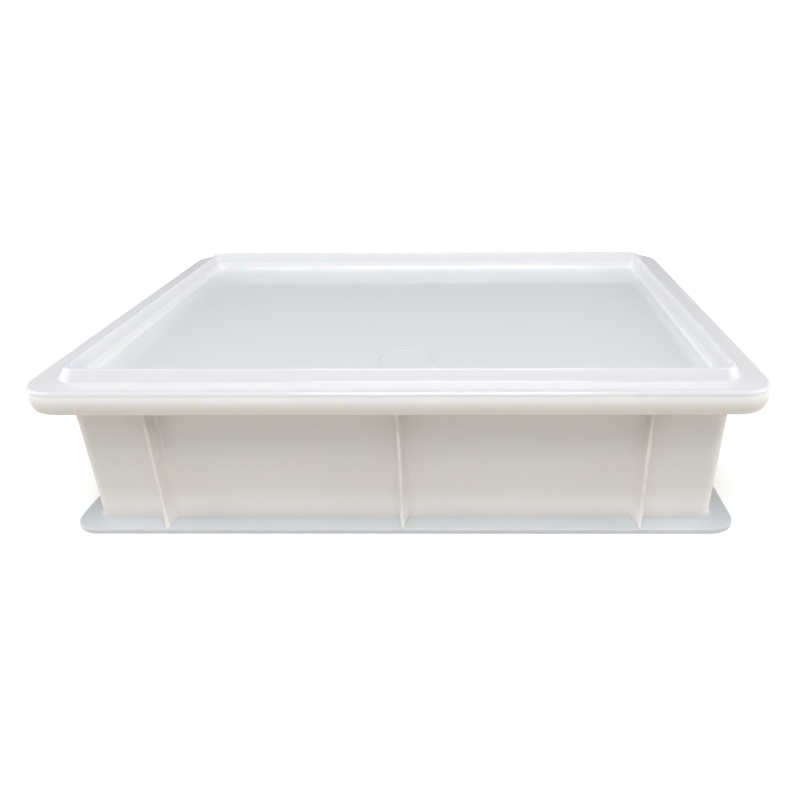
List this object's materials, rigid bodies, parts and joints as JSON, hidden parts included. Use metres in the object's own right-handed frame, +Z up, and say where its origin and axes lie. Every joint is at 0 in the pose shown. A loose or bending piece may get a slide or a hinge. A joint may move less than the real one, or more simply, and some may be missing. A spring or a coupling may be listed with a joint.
{
  "type": "dough proofing box",
  "caption": "Shallow stackable rectangular dough tray with ribbed sides, a turned-down rim, a base flange and a lift-off ridged lid.",
  "frame": {"origin": "centre of the tray's footprint, on the surface it stands on", "axes": "+X along the long side, to the right of someone facing the front; +Y to the back; +Z up, out of the tray's mouth"},
  "size_m": [0.4, 0.3, 0.0982],
  "materials": {
    "tray_plastic": "satin",
    "lid_plastic": "gloss"
  },
  "bodies": {
    "tray": {"tray": "tray_plastic"},
    "lid": {"lid": "lid_plastic"}
  },
  "joints": [
    {"name": "lid_lift", "type": "slide", "parent": "tray", "child": "lid", "axis": [0, 0, 1], "range_m": [0, 0.16]}
  ]
}
